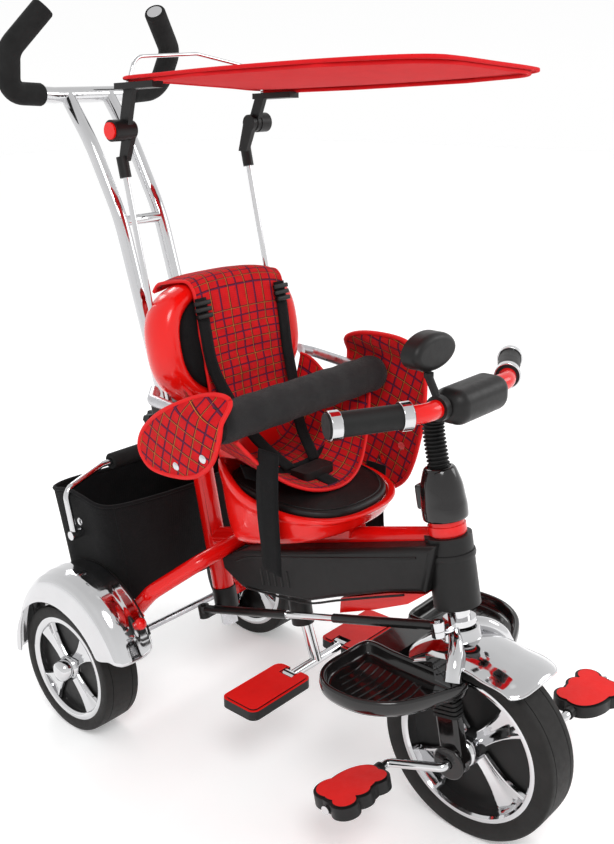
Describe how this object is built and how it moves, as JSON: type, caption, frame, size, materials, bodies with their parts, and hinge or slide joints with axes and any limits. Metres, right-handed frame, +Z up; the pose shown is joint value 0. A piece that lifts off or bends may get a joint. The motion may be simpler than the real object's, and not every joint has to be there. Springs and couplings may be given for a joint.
{
  "type": "children's tricycle",
  "caption": "Parent-steered children's tricycle with canopy, safety bar, push handle, rear basket and foot tray.",
  "frame": {"origin": "on the floor, under the middle of the tricycle's bounding box", "axes": "+X to the rider's left, +Y backwards towards the push handle, +Z up"},
  "size_m": [0.49, 0.8878, 1.0844],
  "materials": {
    "red_paint": "gloss red powder coat",
    "red_plastic": "gloss red moulding",
    "black_plastic": "satin black moulding",
    "gloss_black": "gloss black moulding",
    "black_paint": "satin black paint",
    "chrome": "polished chrome plate",
    "steel": "plain zinc-plated steel",
    "tyre": "matte moulded foam tyre",
    "rubber": "matte black rubber",
    "foam": "black foam sleeve",
    "plaid_fabric": "red plaid woven cloth",
    "red_fabric": "red coated canopy cloth",
    "black_fabric": "black woven cloth",
    "mesh_fabric": "black spacer mesh over foam",
    "webbing": "black woven webbing",
    "vinyl": "black grained vinyl",
    "mirror": "mirror film"
  },
  "bodies": {
    "frame": {"main_frame": "red_paint", "head_bushes": "black_plastic", "rear_arch": "red_paint", "rear_axle": "steel", "frame_shroud": "black_plastic", "shroud_insert": "red_plastic", "footrest_post": "chrome", "rear_fenders": "chrome", "basket": "black_fabric", "seat_base": "red_plastic", "seat_pad": "vinyl", "backrest_shell": "red_plastic", "backrest_pad": "black_fabric", "backrest_cover": "plaid_fabric", "backrest_bracket": "red_paint", "guard_bar": "steel", "guard_pad": "mesh_fabric", "side_panels": "plaid_fabric", "harness_straps": "webbing", "harness_buckle": "black_plastic", "canopy_rods": "chrome", "canopy_sockets": "black_plastic", "canopy_knobs": "black_plastic"},
    "basket_bail": {"basket_handle": "chrome", "basket_grip": "foam"},
    "canopy": {"canopy_arms": "black_plastic", "canopy_wire": "chrome", "canopy_fabric": "red_fabric"},
    "push_handle": {"push_post": "steel", "push_lever": "black_plastic", "handle_yoke": "black_plastic", "push_tubes": "chrome", "push_grips": "foam"},
    "clamp_knob": {"star_knob": "black_plastic"},
    "link": {"steering_link": "black_paint"},
    "steering": {"fork": "chrome", "fork_covers": "gloss_black", "fork_bellows": "rubber", "front_fender": "chrome", "foot_tray": "gloss_black", "stem_boot": "gloss_black", "gooseneck": "rubber", "handlebar": "red_paint", "bar_cover": "black_plastic", "hand_grips": "rubber", "grip_rings": "chrome", "mirror_clamp": "black_plastic"},
    "mirror": {"mirror_housing": "black_plastic", "mirror_glass": "mirror"},
    "front_wheel": {"front_tyre": "tyre", "front_rim": "chrome", "crank": "chrome"},
    "pedal_right": {"pedal_right": "black_plastic"},
    "pedal_left": {"pedal_left": "black_plastic"},
    "rear_wheel_right": {"rear_tyre_right": "tyre", "rear_rim_right": "chrome"},
    "rear_wheel_left": {"rear_tyre_left": "tyre", "rear_rim_left": "chrome"},
    "footpad_right": {"footpad_right": "black_plastic"},
    "footpad_left": {"footpad_left": "black_plastic"}
  },
  "joints": [
    {"name": "steer", "type": "hinge", "parent": "frame", "child": "steering", "pos_m": [0, -0.31425, 0.13], "axis": [0, 0.1908, 0.9816], "range_deg": [-25, 25]},
    {"name": "push_handle_turn", "type": "hinge", "parent": "frame", "child": "push_handle", "pos_m": [0, 0.15575, 0.143], "axis": [0, 0.1908, 0.9816], "range_deg": [-25, 25]},
    {"name": "link_pivot", "type": "hinge", "parent": "push_handle", "child": "link", "pos_m": [-0.048, 0.16281, 0.17932], "axis": [0, 0.1908, 0.9816], "range_deg": [-25, 25]},
    {"name": "front_wheel_spin", "type": "hinge", "parent": "steering", "child": "front_wheel", "pos_m": [0, -0.31425, 0.13], "axis": [1, 0, 0], "continuous": true},
    {"name": "pedal_right_spin", "type": "hinge", "parent": "front_wheel", "child": "pedal_right", "pos_m": [-0.1695, -0.23991, 0.1142], "axis": [1, 0, 0], "continuous": true},
    {"name": "pedal_left_spin", "type": "hinge", "parent": "front_wheel", "child": "pedal_left", "pos_m": [0.1695, -0.38859, 0.1458], "axis": [1, 0, 0], "continuous": true},
    {"name": "rear_wheel_right_spin", "type": "hinge", "parent": "frame", "child": "rear_wheel_right", "pos_m": [-0.197, 0.28975, 0.103], "axis": [1, 0, 0], "continuous": true},
    {"name": "rear_wheel_left_spin", "type": "hinge", "parent": "frame", "child": "rear_wheel_left", "pos_m": [0.197, 0.28975, 0.103], "axis": [1, 0, 0], "continuous": true},
    {"name": "canopy_tilt", "type": "hinge", "parent": "frame", "child": "canopy", "pos_m": [0, 0.18975, 0.911], "axis": [-1, 0, 0], "range_deg": [-20, 50]},
    {"name": "basket_bail_tilt", "type": "hinge", "parent": "frame", "child": "basket_bail", "pos_m": [0, 0.29175, 0.318], "axis": [-1, 0, 0], "range_deg": [0, 18]},
    {"name": "mirror_swivel", "type": "hinge", "parent": "steering", "child": "mirror", "pos_m": [-0.052, -0.25825, 0.642], "axis": [0, 0, 1], "range_deg": [-30, 30]},
    {"name": "clamp_knob_turn", "type": "hinge", "parent": "push_handle", "child": "clamp_knob", "pos_m": [-0.0385, 0.25989, 0.46912], "axis": [0, 0.9816, -0.1908], "continuous": true},
    {"name": "footpad_right_fold", "type": "hinge", "parent": "frame", "child": "footpad_right", "pos_m": [-0.058, -0.03025, 0.14], "axis": [0, 1, 0], "range_deg": [0, 70]},
    {"name": "footpad_left_fold", "type": "hinge", "parent": "frame", "child": "footpad_left", "pos_m": [0.058, -0.03025, 0.14], "axis": [0, -1, 0], "range_deg": [0, 70]}
  ],
  "couplings": [
    {"joint": "push_handle_turn", "follows": "steer", "ratio": 1},
    {"joint": "link_pivot", "follows": "steer", "ratio": -1},
    {"joint": "pedal_right_spin", "follows": "front_wheel_spin", "ratio": -1},
    {"joint": "pedal_left_spin", "follows": "front_wheel_spin", "ratio": -1}
  ]
}
